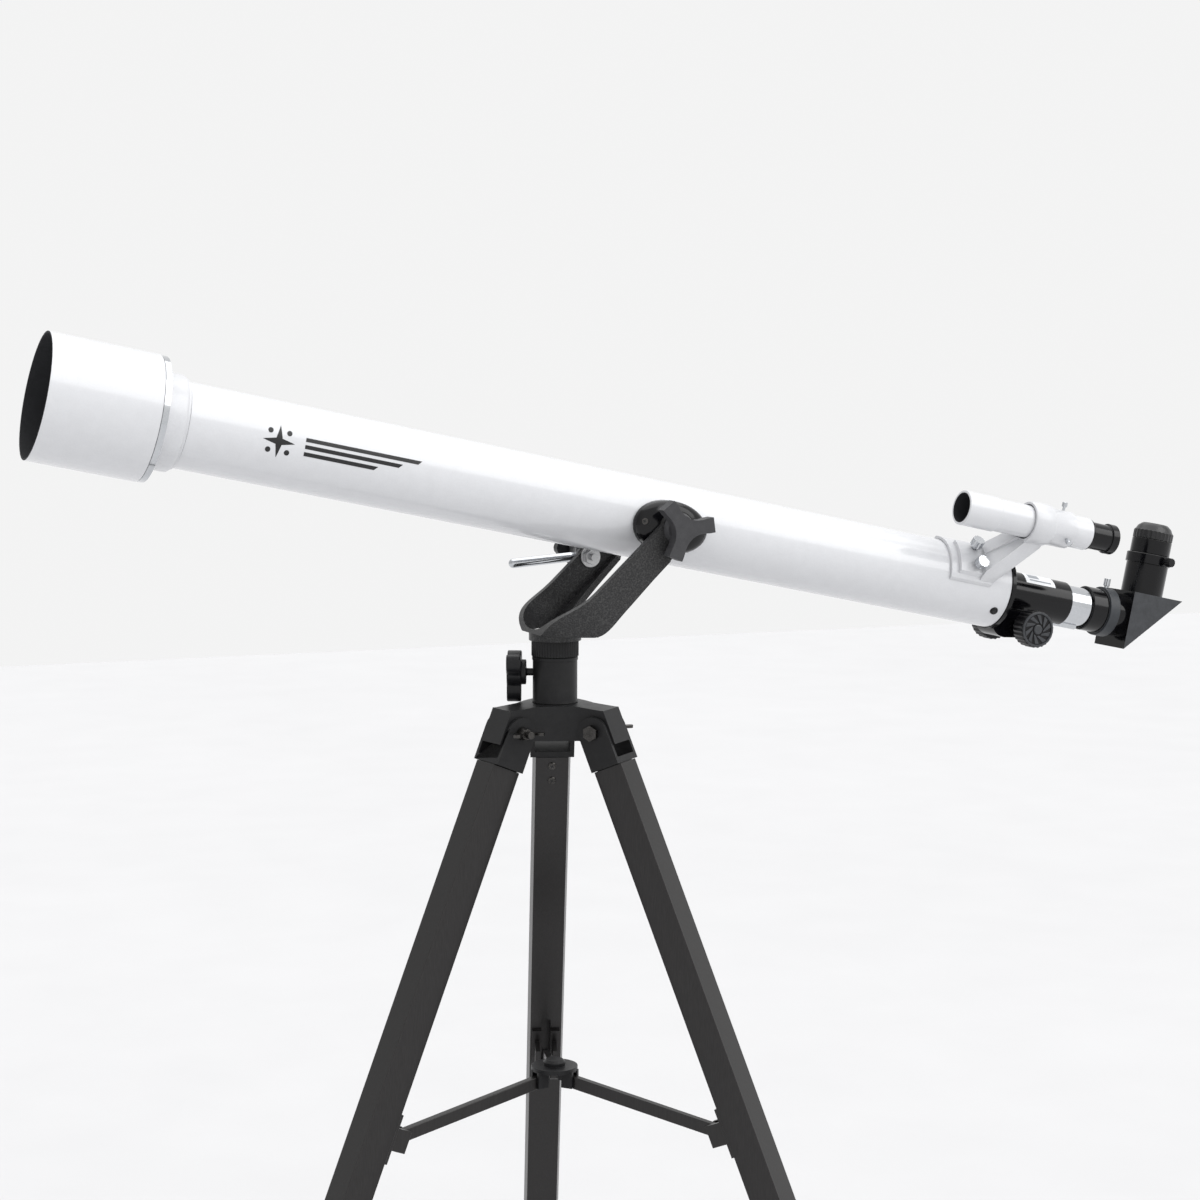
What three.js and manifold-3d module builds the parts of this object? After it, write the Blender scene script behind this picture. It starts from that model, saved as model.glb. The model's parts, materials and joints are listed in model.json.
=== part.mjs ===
// Refractor telescope on an alt-azimuth yoke and a three-legged tripod.
// Millimetres, +Z up. The origin is on the ground under the middle of the whole object.
// The azimuth axis is vertical; the optical tube lies along X with its eyepiece end at +X.
import * as THREE from 'three';
import { ConvexGeometry } from 'three/addons/geometries/ConvexGeometry.js';
import { mergeVertices } from 'three/addons/utils/BufferGeometryUtils.js';
import Module from 'manifold-3d';

const wasm = await Module();
wasm.setup();

const rad = THREE.MathUtils.degToRad;
const GAP = 0.35; // air between pieces that touch

// ---- driving dimensions -------------------------------------------------------------------
const AXIS_X = -85.1; // azimuth axis, seen from the middle of the object's box
const AXIS_Y = -32.0;

// Tripod
const SPLAY = 22.6; // degrees between a leg and the vertical
const LEG_HEADINGS = { rear: 71.4, left: 191.4, right: 311.4 }; // degrees about +Z from +X
const LEG_PIVOT_R = 42;
const LEG_PIVOT_DROP = 20; // below the hub's top
const LEG_LENGTH = 760; // pivot to sole, along the leg
const LEG_TOP = 30; // pivot to the upper tube's top
const UPPER_END = 560;
const LOWER_START = 80;
const LOWER_END = 736;
const LEG_INNER_W = 27; // leg section: inner face, widest line, outer face and their depths
const LEG_MID_W = 31.5;
const LEG_OUTER_W = 26.4;
const LEG_DEPTH = 25;
const LEG_MID_AT = 11;
const LEG_WALL = 1.5;
const HUB_H = 28;
const HUB_WEB_R = 26; // flat faces between the hub's arms
const ARM_HALF = 14; // half the width of a hub arm
const ARM_REACH = 50;
const EAR_T = 3.5;
const EAR_R = 12.4;
const COLUMN_R = 17.9;
const COLUMN_H = 37;
const COLLAR_R = 19;
const COLLAR_TOP = 50;
const SPINDLE_R = 12.6;
const BRACE_AT = 330; // pivot to brace lug, along the leg
const LUG_REACH = 22.5; // brace pivot, inward of the leg's middle line
const BRACE_ANGLE = 10; // degrees below the horizontal
const BRACE_HUB_R = 14;
const SLOT_HALF = 4; // slots in the legs where the folding braces swing in
const SLOT_BELOW = 42;
const SLOT_ABOVE = 30;

// Yoke: a U-shaped strap in a plane that leans back by LEAN degrees
const LEAN = 44;
const STRAP_IN = 45.5; // inner face of each arm from the middle plane
const STRAP_T = 6;
const ARM_OUT = STRAP_IN + STRAP_T;
const STUD_OUT = 9; // how far the altitude stud stands out of the near arm
const STRAP_N0 = 27.5; // strap edges, measured square to the leaning plane
const STRAP_N1 = 55;
const STRAP_BOTTOM = 21; // outside of the bend, along the lean
const STRAP_BEND = 48;
const FLANGE_TOP = 57;

// Optical tube: S is the distance along the tube behind the azimuth axis
const ELEVATION = 11.8;
const TUBE_Z = 161.2; // tube axis above the hub's top, over the azimuth axis
const TUBE_R = 33;
const TUBE_WALL = 1.2;
const TUBE_FRONT = -308.2;
const TUBE_REAR = 412;
const TRUNNION_S = 87;
const TRUNNION_DROP = 3; // trunnion axis below the tube axis
const DEW_R = 48.3;
const DEW_FRONT = -415.8;
const DEW_REAR = -332.4;
const CELL_R = 37.1;
const FLANGE_R = 34;
const FOCUSER_R = 19;
const FOCUSER_END = 485;
const DRAW_R = 17;
const DRAW_FRONT = 384;
const DRAW_END = 508;
const PINION_S = 440;
const PINION_DROP = 26.4;
const BACK_START = 506.8;
const BACK_END = 523;
const RING_END = 533;
const BARREL_R = 15.8; // 1.25 inch eyepiece fitting
const DIAG_FRONT = 543;
const DIAG_SIDE = 51;
const DIAG_HALF = 22.5;
const DIAG_TOP = 22.5;
const HOLDER_S = 566;
const HOLDER_R = 18.3;
const HOLDER_TOP = 58;
const EYEPIECE_R = 17.4;
const EYEPIECE_TOP = 85.5;
const FINDER_R = 13.8;
const FINDER_OFFSET = 79.5; // finder axis from the tube axis
const FINDER_ANGLE = 50; // above the horizontal, on the -Y side
const ROD_R = 4;
const ROD_Y = 60;
const ROD_SLOPE = 4.4;
const ROD_FRONT = 62;
const ROD_REAR = 102.5;
const KNOB_REACH = 24.5;

const sinS = Math.sin(rad(SPLAY));
const cosS = Math.cos(rad(SPLAY));
const HUB_TOP = LEG_PIVOT_DROP + LEG_LENGTH * cosS; // above the ground

// ---- materials ----------------------------------------------------------------------------
function finish(color, roughness, metalness) {
  return new THREE.MeshStandardMaterial({ color, roughness, metalness });
}
const whitePaint = finish(0xf1f2f4, 0.25, 0.1);
const blackGloss = finish(0x0b0b0d, 0.2, 0.0);
const blackSatin = finish(0x1c1d20, 0.5, 0.0);
const hammered = finish(0x4a4b4e, 0.5, 0.5);
const knobGrey = finish(0x3a3b3d, 0.6, 0.0);
const castGrey = finish(0x3b3c3e, 0.55, 0.0);
const anodised = finish(0x2b2b2c, 0.4, 0.7);
const chrome = finish(0xd8dadd, 0.12, 1.0);
const steel = finish(0xa9abae, 0.35, 1.0);
const rubber = finish(0x141415, 0.85, 0.0);
const glass = finish(0xa9c6d8, 0.05, 0.0);

// ---- geometry helpers ---------------------------------------------------------------------
// A profile is a list of [radius, height], going up its outside and down its inside.
function lathe(profile, segments = 40) {
  const points = profile.map(([r, h]) => new THREE.Vector2(r, h));
  return new THREE.LatheGeometry(points, segments);
}
const alongX = (profile, segments) => lathe(profile, segments).rotateZ(-Math.PI / 2);
const alongZ = (profile, segments) => lathe(profile, segments).rotateX(Math.PI / 2);
const rod = (r, from, to) => [[0, from], [r, from], [r, to], [0, to]];
const ring = (rIn, rOut, from, to) => [[rIn, from], [rOut, from], [rOut, to], [rIn, to], [rIn, from]];

function box(x0, x1, y0, y1, z0, z1) {
  const geometry = new THREE.BoxGeometry(x1 - x0, y1 - y0, z1 - z0);
  return geometry.translate((x0 + x1) / 2, (y0 + y1) / 2, (z0 + z1) / 2);
}

function outline(points) {
  return new THREE.Shape(points.map(([x, y]) => new THREE.Vector2(x, y)));
}

function extrude(shape, depth, curveSegments = 10) {
  return new THREE.ExtrudeGeometry(shape, { depth, bevelEnabled: false, curveSegments });
}

// Extrudes an outline drawn in X and Z between two Y planes.
function sidePlate(shape, y0, y1, curveSegments) {
  return extrude(shape, y1 - y0, curveSegments).rotateX(Math.PI / 2).translate(0, y1, 0);
}

function solid(geometry) {
  const bare = geometry.clone();
  bare.deleteAttribute('normal');
  bare.deleteAttribute('uv');
  const merged = mergeVertices(bare, 1e-4);
  const corners = merged.index.array;
  const kept = [];
  for (let i = 0; i < corners.length; i += 3) {
    const [a, b, c] = corners.slice(i, i + 3);
    if (a !== b && b !== c && c !== a) kept.push(a, b, c);
  }
  const vertProperties = new Float32Array(merged.getAttribute('position').array);
  const triVerts = new Uint32Array(kept);
  return new wasm.Manifold(new wasm.Mesh({ numProp: 3, vertProperties, triVerts }));
}

function shell(manifold) {
  const mesh = manifold.getMesh();
  const geometry = new THREE.BufferGeometry();
  geometry.setAttribute('position', new THREE.BufferAttribute(mesh.vertProperties, 3));
  geometry.setIndex(new THREE.BufferAttribute(mesh.triVerts, 1));
  geometry.computeVertexNormals();
  return geometry;
}

// Joins the first list of geometries and cuts the second list away.
function join(add, cut = []) {
  let body = solid(add[0]);
  for (const geometry of add.slice(1)) body = body.add(solid(geometry));
  for (const geometry of cut) body = body.subtract(solid(geometry));
  return shell(body);
}

function place(parent, name, geometry, material) {
  const mesh = new THREE.Mesh(geometry, material);
  mesh.name = name;
  parent.add(mesh);
  return mesh;
}

function group(parent, x, y, z) {
  const made = new THREE.Group();
  made.position.set(x, y, z);
  parent.add(made);
  return made;
}

// ---- frames -------------------------------------------------------------------------------
const telescope = new THREE.Group();
const stand = group(telescope, AXIS_X, AXIS_Y, HUB_TOP);

const sinE = Math.sin(rad(ELEVATION));
const cosE = Math.cos(rad(ELEVATION));
const TRUNNION_X = TRUNNION_S * cosE - TRUNNION_DROP * sinE;
const TRUNNION_Z = TUBE_Z - TRUNNION_S * sinE - TRUNNION_DROP * cosE;
const tilt = group(stand, TRUNNION_X, 0, TRUNNION_Z);
tilt.rotation.y = rad(ELEVATION);
const optics = group(tilt, -TRUNNION_S, 0, TRUNNION_DROP); // X is S, the tube axis is X

// ---- tripod -------------------------------------------------------------------------------
function legSection(inset) {
  const inner = LEG_INNER_W / 2 - inset;
  const mid = LEG_MID_W / 2 - inset;
  const outer = LEG_OUTER_W / 2 - inset;
  const x0 = inset - LEG_DEPTH / 2;
  const x1 = LEG_DEPTH / 2 - inset;
  const xm = LEG_MID_AT - LEG_DEPTH / 2;
  return [[x0, -inner], [xm, -mid], [x1, -outer], [x1, outer], [xm, mid], [x0, inner]];
}

function legTube(inset, wall, from, to) {
  const shape = outline(legSection(inset));
  const bore = outline(legSection(inset + wall).reverse());
  shape.holes.push(bore);
  return extrude(shape, to - from).translate(0, 0, -to);
}

function tripodHub() {
  const armRoot = (HUB_WEB_R - ARM_HALF * Math.sin(rad(60))) / Math.cos(rad(60));
  const corners = [];
  for (const heading of Object.values(LEG_HEADINGS)) {
    const a = rad(heading);
    const arm = [[armRoot, -1], [ARM_REACH, -1], [ARM_REACH, 1], [armRoot, 1]];
    for (const [r, side] of arm) {
      corners.push([
        r * Math.cos(a) - side * ARM_HALF * Math.sin(a),
        r * Math.sin(a) + side * ARM_HALF * Math.cos(a),
      ]);
    }
  }
  const block = extrude(outline(corners), HUB_H - 2.5).translate(0, 0, -HUB_H);
  const roof = shell(solid(extrude(outline(corners), 6).translate(0, 0, -6)).intersect(
    solid(alongZ([[0, -6], [ARM_REACH + 8, -6], [ARM_REACH + 8, -3.4], [COLUMN_R + 6, 0], [0, 0]], 48)),
  ));
  const add = [block, roof];
  const cut = [alongZ(rod(SPINDLE_R + 0.4, -HUB_H - 1, 5), 36), alongZ(rod(22, -HUB_H - 1, -16), 36)];
  for (const heading of Object.values(LEG_HEADINGS)) {
    const a = rad(heading);
    const run = (HUB_H - 3) * Math.tan(rad(SPLAY));
    const nose = outline([[30, -3], [30, -HUB_H], [ARM_REACH + run, -HUB_H], [ARM_REACH, -3]]);
    add.push(sidePlate(nose, -ARM_HALF, ARM_HALF).rotateZ(a));
    const boltHole = new THREE.CylinderGeometry(3.4, 3.4, 2 * ARM_HALF + 4, 20);
    cut.push(boltHole.translate(LEG_PIVOT_R, 0, -LEG_PIVOT_DROP).rotateZ(a));
  }
  return join(add, cut);
}

function legBracket() {
  const add = [];
  const inner = ARM_HALF + 0.5;
  const ear = new THREE.Shape();
  ear.absarc(0, 0, EAR_R, 0, Math.PI, false);
  ear.lineTo(-LEG_DEPTH / 2, -LEG_TOP + GAP);
  ear.lineTo(LEG_DEPTH / 2, -LEG_TOP + GAP);
  ear.closePath();
  add.push(sidePlate(ear, inner, inner + EAR_T, 7));
  add.push(sidePlate(ear, -inner - EAR_T, -inner, 7));
  add.push(box(-LEG_DEPTH / 2, LEG_DEPTH / 2, -inner - 1, inner + 1, -LEG_TOP + GAP, -24.5));
  const plug = extrude(outline(legSection(LEG_WALL + 0.5)), 46).translate(0, 0, -LEG_TOP - 45);
  add.push(plug);
  const hole = new THREE.CylinderGeometry(3.4, 3.4, 50, 14);
  return join(add, [hole]);
}

function upperLeg() {
  const tube = legTube(0, LEG_WALL, LEG_TOP, UPPER_END);
  const collar = legTube(-2.6, 2.9, UPPER_END - 26, UPPER_END + 4);
  const boss = new THREE.CylinderGeometry(8, 8, 7, 20).rotateZ(Math.PI / 2);
  boss.translate(LEG_DEPTH / 2 + 4.5, 0, -UPPER_END + 11);
  const add = [tube, collar, boss];
  const x0 = -LUG_REACH - 7;
  for (const y0 of [-9.5, 5.5]) {
    add.push(box(x0, -LEG_DEPTH / 2 + 1, y0, y0 + 4, -BRACE_AT - 9, -BRACE_AT + 9));
  }
  add.push(box(-LEG_DEPTH / 2 - 3, -LEG_DEPTH / 2 + 1, -12, 12, -BRACE_AT - 20, -BRACE_AT + 20));
  const bore = extrude(outline(legSection(LEG_WALL)), 80).translate(0, 0, -UPPER_END - 10);
  const screwHole = new THREE.CylinderGeometry(3.2, 3.2, 20, 16).rotateZ(Math.PI / 2);
  screwHole.translate(LEG_DEPTH / 2 + 5, 0, -UPPER_END + 11);
  const slotLow = -BRACE_AT - SLOT_BELOW;
  const slotHigh = -BRACE_AT + SLOT_ABOVE;
  const slot = box(-LEG_DEPTH / 2 - 5, 0, -SLOT_HALF, SLOT_HALF, slotLow, slotHigh);
  return join(add, [bore, screwHole, slot]);
}

function foot() {
  const top = -LOWER_END + 22;
  const soleBelow = -LEG_LENGTH - 20;
  const shoe = extrude(outline(legSection(-1.2)), top - soleBelow).translate(0, 0, soleBelow);
  const ground = box(-100, 100, -100, 100, -80, 0);
  ground.rotateY(rad(SPLAY)).translate(0, 0, -LEG_LENGTH);
  const socket = extrude(outline(legSection(LEG_WALL + 0.25)), 60).translate(0, 0, -LOWER_END - GAP);
  return join([shoe], [ground, socket]);
}

function clampKnob(reach, depth) {
  const shape = new THREE.Shape();
  const lobes = 5;
  const steps = 30;
  for (let i = 0; i < steps; i += 1) {
    const a = (i / steps) * 2 * Math.PI;
    const r = reach * (0.86 + 0.14 * Math.cos(lobes * a));
    if (i === 0) shape.moveTo(r, 0);
    else shape.lineTo(r * Math.cos(a), r * Math.sin(a));
  }
  shape.closePath();
  const head = extrude(shape, depth);
  return head.rotateY(Math.PI / 2);
}

// Bolt through a hub arm and both ears, hexagon head on one side, wing nut on the other
function pivotBolt() {
  const face = ARM_HALF + 0.5 + EAR_T + GAP;
  const shank = new THREE.CylinderGeometry(3, 3, 2 * face + 14, 12).translate(0, 6, 0);
  const head = new THREE.CylinderGeometry(6.4, 6.4, 4.4, 6).translate(0, -face - 2.2, 0);
  const nut = new THREE.CylinderGeometry(4.2, 5.6, 7, 16).translate(0, face + 3.5, 0);
  const wing = new THREE.Shape();
  wing.moveTo(3, face + 1);
  wing.lineTo(5, face + 1);
  wing.quadraticCurveTo(9, face + 3, 13.5, face + 8);
  wing.absarc(11, face + 9.5, 3, -0.5, 2.4, false);
  wing.quadraticCurveTo(6, face + 6.5, 3, face + 6);
  wing.closePath();
  const blade = extrude(wing, 2.4, 4).translate(0, 0, -1.2);
  return join([shank, head, nut, blade, blade.clone().rotateY(Math.PI)]);
}

for (const [side, heading] of Object.entries(LEG_HEADINGS)) {
  const swing = group(stand, 0, 0, 0);
  swing.rotation.z = rad(heading);
  const bolt = place(swing, `pivot_bolt_${side}`, pivotBolt(), steel);
  bolt.position.set(LEG_PIVOT_R, 0, -LEG_PIVOT_DROP);
  const leg = group(swing, LEG_PIVOT_R, 0, -LEG_PIVOT_DROP);
  leg.rotation.y = rad(-SPLAY);
  place(leg, `leg_bracket_${side}`, legBracket(), castGrey);
  place(leg, `upper_leg_${side}`, upperLeg(), anodised);
  const tube = legTube(LEG_WALL + 0.5, LEG_WALL, LOWER_START, LOWER_END);
  const slotEnd = -BRACE_AT - SLOT_BELOW;
  const slot = box(-LEG_DEPTH / 2 - 5, 0, -SLOT_HALF, SLOT_HALF, slotEnd, -LOWER_START + 1);
  const lower = join([tube], [slot]);
  place(leg, `lower_leg_${side}`, lower, anodised);
  place(leg, `foot_${side}`, foot(), rubber);
  const screw = new THREE.CylinderGeometry(2.8, 2.8, 12, 16).rotateZ(Math.PI / 2).translate(3, 0, 0);
  const knob = join([clampKnob(14, 9).translate(8.5, 0, 0), screw]);
  const clamp = place(leg, `leg_clamp_${side}`, knob, blackSatin);
  clamp.position.set(LEG_DEPTH / 2 + 1.2, 0, -UPPER_END + 11);
}
place(stand, 'tripod_hub', tripodHub(), castGrey);

const columnProfile = [[SPINDLE_R + 0.4, GAP], [COLUMN_R + 0.5, GAP], [COLUMN_R, 3],
  [COLUMN_R, COLUMN_H], [SPINDLE_R + 0.4, COLUMN_H], [SPINDLE_R + 0.4, GAP]];
const LOCK_Z = 24;
const LOCK_HEADING = 157.5; // degrees about +Z from +X
const lockHole = alongX(rod(3.6, 10, 30), 16).translate(0, 0, LOCK_Z).rotateZ(rad(LOCK_HEADING));
place(stand, 'column', join([alongZ(columnProfile, 48)], [lockHole]), castGrey);

function knurledCollar() {
  const shape = new THREE.Shape();
  const teeth = 48;
  for (let i = 0; i < 2 * teeth; i += 1) {
    const a = (i / teeth) * Math.PI;
    const r = COLLAR_R - (i % 2) * 0.7;
    if (i === 0) shape.moveTo(r, 0);
    else shape.lineTo(r * Math.cos(a), r * Math.sin(a));
  }
  shape.closePath();
  const bore = new THREE.Path();
  bore.absarc(0, 0, SPINDLE_R + 0.4, 0, 2 * Math.PI, true);
  shape.holes.push(bore);
  const height = COLLAR_TOP - COLUMN_H - 2 * GAP;
  return extrude(shape, height, 14).translate(0, 0, COLUMN_H + GAP);
}
place(stand, 'azimuth_collar', knurledCollar(), castGrey);

// A three-lobed hand knob with a boss and a threaded stud, along X; the lobes face +X.
function lobedKnob(reach, thick, studR, studLength, phase) {
  const shape = new THREE.Shape();
  const steps = 42;
  for (let i = 0; i < steps; i += 1) {
    const a = (i / steps) * 2 * Math.PI;
    const lobe = Math.max(0, Math.cos(3 * (a - rad(phase)))) ** 0.55;
    const r = reach * (0.5 + 0.5 * lobe);
    if (i === 0) shape.moveTo(r, 0);
    else shape.lineTo(r * Math.cos(a), r * Math.sin(a));
  }
  shape.closePath();
  const head = extrude(shape, thick).translate(0, 0, 4);
  const boss = alongZ(rod(reach * 0.42, 0, 5), 28);
  const stud = alongZ(rod(studR, -studLength, 1), 16);
  return join([head, boss, stud]).rotateY(Math.PI / 2);
}
const lockKnob = lobedKnob(24, 11.5, 3, 10, 0);
lockKnob.translate(23, 0, LOCK_Z).rotateZ(rad(LOCK_HEADING));
place(stand, 'azimuth_lock_knob', lockKnob, blackSatin);

// Spreader hub and its folding braces
const BRACE_PIVOT_R = LEG_PIVOT_R + BRACE_AT * sinS - LUG_REACH * cosS;
const BRACE_PIVOT_Z = -LEG_PIVOT_DROP - BRACE_AT * cosS - LUG_REACH * sinS;
const BRACE_LENGTH = (BRACE_PIVOT_R - BRACE_HUB_R) / Math.cos(rad(BRACE_ANGLE));
const SPREADER_Z = BRACE_PIVOT_Z + BRACE_LENGTH * Math.sin(rad(BRACE_ANGLE));

function spreaderHub() {
  const add = [alongZ(rod(19, 7.5, 11), 36), alongZ([[0, 10], [9, 10], [9, 14], [7, 16], [0, 16]], 30)];
  for (const heading of Object.values(LEG_HEADINGS)) {
    for (const y0 of [-6.4, 3.4]) {
      const lug = box(9.5, BRACE_HUB_R + 5, y0, y0 + 3, -5, 8.5);
      add.push(lug.rotateZ(rad(heading)));
    }
  }
  return join(add);
}
place(stand, 'spreader_hub', spreaderHub(), blackSatin).position.z = SPREADER_Z;

function brace() {
  const shape = new THREE.Shape();
  shape.absarc(0, 0, 5, Math.PI / 2, 1.5 * Math.PI, false);
  shape.absarc(BRACE_LENGTH, 0, 5, -Math.PI / 2, Math.PI / 2, false);
  shape.closePath();
  return sidePlate(shape, -3, 3, 10);
}
for (const [side, heading] of Object.entries(LEG_HEADINGS)) {
  const turn = group(stand, 0, 0, SPREADER_Z);
  turn.rotation.z = rad(heading);
  const hinge = group(turn, BRACE_HUB_R, 0, 0);
  hinge.rotation.y = rad(BRACE_ANGLE);
  place(hinge, `brace_${side}`, brace(), anodised);
}

// ---- yoke ---------------------------------------------------------------------------------
// Leaning frame: "along" climbs the arms, "across" is square to the strap's edge plane.
const alongDir = new THREE.Vector3(Math.cos(rad(LEAN)), 0, Math.sin(rad(LEAN)));
const acrossDir = new THREE.Vector3(-Math.sin(rad(LEAN)), 0, Math.cos(rad(LEAN)));
const trunnion = new THREE.Vector3(TRUNNION_X, 0, TRUNNION_Z);
const TRUNNION_W = trunnion.dot(alongDir);
const TRUNNION_N = trunnion.dot(acrossDir);
const CLAMP_W = 112.5; // rod clamp bolt, along the far arm
const CLAMP_N = 46.5;

// Maps an extrusion drawn with X = Y of the stand and Y = along, and depth = across.
function leanPlace(geometry, from) {
  const lean = new THREE.Matrix4();
  lean.makeBasis(new THREE.Vector3(0, 1, 0), alongDir, acrossDir.clone().negate());
  geometry.translate(0, 0, -from);
  return geometry.applyMatrix4(lean);
}

// Outline of an arm seen from the side, in X and Z: straight arms that curve down to the flange
function yokeSide() {
  const at = (w, n) => [w * alongDir.x + n * acrossDir.x, w * alongDir.z + n * acrossDir.z];
  const shape = new THREE.Shape();
  shape.moveTo(...at(TRUNNION_W, STRAP_N0 + 2));
  shape.lineTo(...at(TRUNNION_W, STRAP_N1 - 1));
  shape.lineTo(...at(74, STRAP_N1));
  shape.bezierCurveTo(...at(52, STRAP_N1 + 0.5), -20, 74, -20.5, FLANGE_TOP - 1);
  shape.lineTo(15, FLANGE_TOP - 1);
  shape.bezierCurveTo(24, FLANGE_TOP, ...at(66, STRAP_N0), ...at(88, STRAP_N0));
  shape.closePath();
  return shape;
}

function yoke() {
  const out = STRAP_IN + STRAP_T;
  const shape = new THREE.Shape();
  shape.moveTo(out, TRUNNION_W);
  shape.lineTo(STRAP_IN, TRUNNION_W);
  const inner = STRAP_BEND - STRAP_T;
  const bendW = STRAP_BOTTOM + STRAP_BEND;
  shape.absarc(STRAP_IN - inner, bendW, inner, 0, -Math.PI / 2, true);
  shape.absarc(inner - STRAP_IN, bendW, inner, -Math.PI / 2, -Math.PI, true);
  shape.lineTo(-STRAP_IN, TRUNNION_W);
  shape.lineTo(-out, TRUNNION_W);
  shape.absarc(STRAP_BEND - out, bendW, STRAP_BEND, Math.PI, 1.5 * Math.PI, false);
  shape.absarc(out - STRAP_BEND, bendW, STRAP_BEND, -Math.PI / 2, 0, false);
  shape.closePath();
  const band = leanPlace(extrude(shape, 80, 10), 80);
  const strap = shell(solid(band).intersect(solid(sidePlate(yokeSide(), -60, 60, 10))));
  const web = new THREE.Shape();
  const top = TRUNNION_W - 30;
  const dip = STRAP_BOTTOM + STRAP_T + 17;
  web.moveTo(out - 2, top + 8);
  web.lineTo(STRAP_IN - 6, top);
  web.bezierCurveTo(STRAP_IN - 10, top - 44, 30, dip, 0, dip);
  web.bezierCurveTo(-30, dip, 10 - STRAP_IN, top - 44, 6 - STRAP_IN, top);
  web.lineTo(2 - out, top + 8);
  web.absarc(STRAP_BEND - out, bendW, STRAP_BEND - 2, Math.PI, 1.5 * Math.PI, false);
  web.absarc(out - STRAP_BEND, bendW, STRAP_BEND - 2, -Math.PI / 2, 0, false);
  web.closePath();
  const webBlock = leanPlace(extrude(web, 5, 8), STRAP_N0 + 5);
  const webPlate = shell(solid(webBlock).intersect(solid(box(-90, 160, -90, 90, FLANGE_TOP - 1, 200))));
  const add = [strap, webPlate];
  const halfStrap = (STRAP_N1 - STRAP_N0) / 2;
  for (const y of [-STRAP_IN - STRAP_T / 2, STRAP_IN + STRAP_T / 2]) {
    const end = new THREE.CylinderGeometry(halfStrap, halfStrap, STRAP_T, 32);
    add.push(end.translate(TRUNNION_X, y, TRUNNION_Z));
  }
  const flange = [[0, COLLAR_TOP], [21, COLLAR_TOP], [21, COLLAR_TOP + 5.5], [20, FLANGE_TOP],
    [0, FLANGE_TOP]];
  add.push(alongZ(flange, 36));
  const cut = [];
  for (const y of [-STRAP_IN - 3, STRAP_IN + 3]) {
    const bore = new THREE.CylinderGeometry(4.4, 4.4, 14, 24);
    cut.push(bore.translate(TRUNNION_X, y, TRUNNION_Z));
  }
  const boltAt = alongDir.clone().multiplyScalar(CLAMP_W).addScaledVector(acrossDir, CLAMP_N);
  const clampBore = new THREE.CylinderGeometry(3.4, 3.4, 20, 20);
  cut.push(clampBore.translate(boltAt.x, STRAP_IN + 3, boltAt.z));
  cut.push(alongZ(rod(SPINDLE_R - 3, COLLAR_TOP - 1, COLLAR_TOP + 3), 30));
  return join(add, cut);
}
place(stand, 'yoke', yoke(), hammered);

const spindle = alongZ(
  [[0, -26], [5, -26], [5, -16], [SPINDLE_R, -14], [SPINDLE_R, COLLAR_TOP - GAP], [8, COLLAR_TOP - GAP],
    [8, COLLAR_TOP + 2.5], [0, COLLAR_TOP + 2.5]],
  36,
);
place(stand, 'azimuth_spindle', spindle, steel);

// Three straight prongs with hollow sides between them, a boss and a blind bore, along X
function prongedKnob(reach, prong, waist, thick, boreR, boreDepth, phase) {
  const shape = new THREE.Shape();
  const turned = (r, side, a) => [r * Math.cos(a) - side * Math.sin(a), r * Math.sin(a) + side * Math.cos(a)];
  for (let i = 0; i < 3; i += 1) {
    const a = rad(phase + 120 * i);
    const b = a + rad(60);
    if (i === 0) shape.moveTo(...turned(reach, -prong, a));
    shape.lineTo(...turned(reach, prong, a));
    shape.lineTo(...turned(reach * 0.8, prong, a));
    const hollow = [waist * Math.cos(b), waist * Math.sin(b)];
    shape.quadraticCurveTo(...hollow, ...turned(reach * 0.8, -prong, a + rad(120)));
    if (i < 2) shape.lineTo(...turned(reach, -prong, a + rad(120)));
  }
  shape.closePath();
  const head = extrude(shape, thick, 8).translate(0, 0, 4);
  const boss = alongZ([[0, 0], [13, 0], [11, 5], [0, 5]], 28);
  const bore = alongZ(rod(boreR, -1, boreDepth), 20);
  return join([head, boss], [bore]).rotateY(Math.PI / 2);
}

// Altitude knob on the near stud, outside the arm, and a low bolt outside the far arm
const altitudeKnob = prongedKnob(KNOB_REACH, 6, 3, 11, 4.4, STUD_OUT + GAP, 98).rotateZ(-Math.PI / 2);
altitudeKnob.translate(0, -ARM_OUT - GAP, 0);
place(stand, 'altitude_knob', altitudeKnob, knobGrey).position.set(TRUNNION_X, 0, TRUNNION_Z);
const boltHead = new THREE.CylinderGeometry(9, 10, 3, 32).translate(0, ARM_OUT + GAP + 1.5, 0);
const boltStud = new THREE.CylinderGeometry(4, 4, 17, 20).translate(0, ARM_OUT - 7, 0);
const trunnionBolt = join([boltHead, boltStud]);
place(stand, 'trunnion_bolt', trunnionBolt, steel).position.set(TRUNNION_X, 0, TRUNNION_Z);

// Slow-motion rod, its clamp on the far arm and its fork on the tube
const clampAt = alongDir.clone().multiplyScalar(CLAMP_W).addScaledVector(acrossDir, CLAMP_N);
const rodGroup = group(stand, clampAt.x, 0, clampAt.z);
rodGroup.rotation.y = rad(-ROD_SLOPE);

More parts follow.
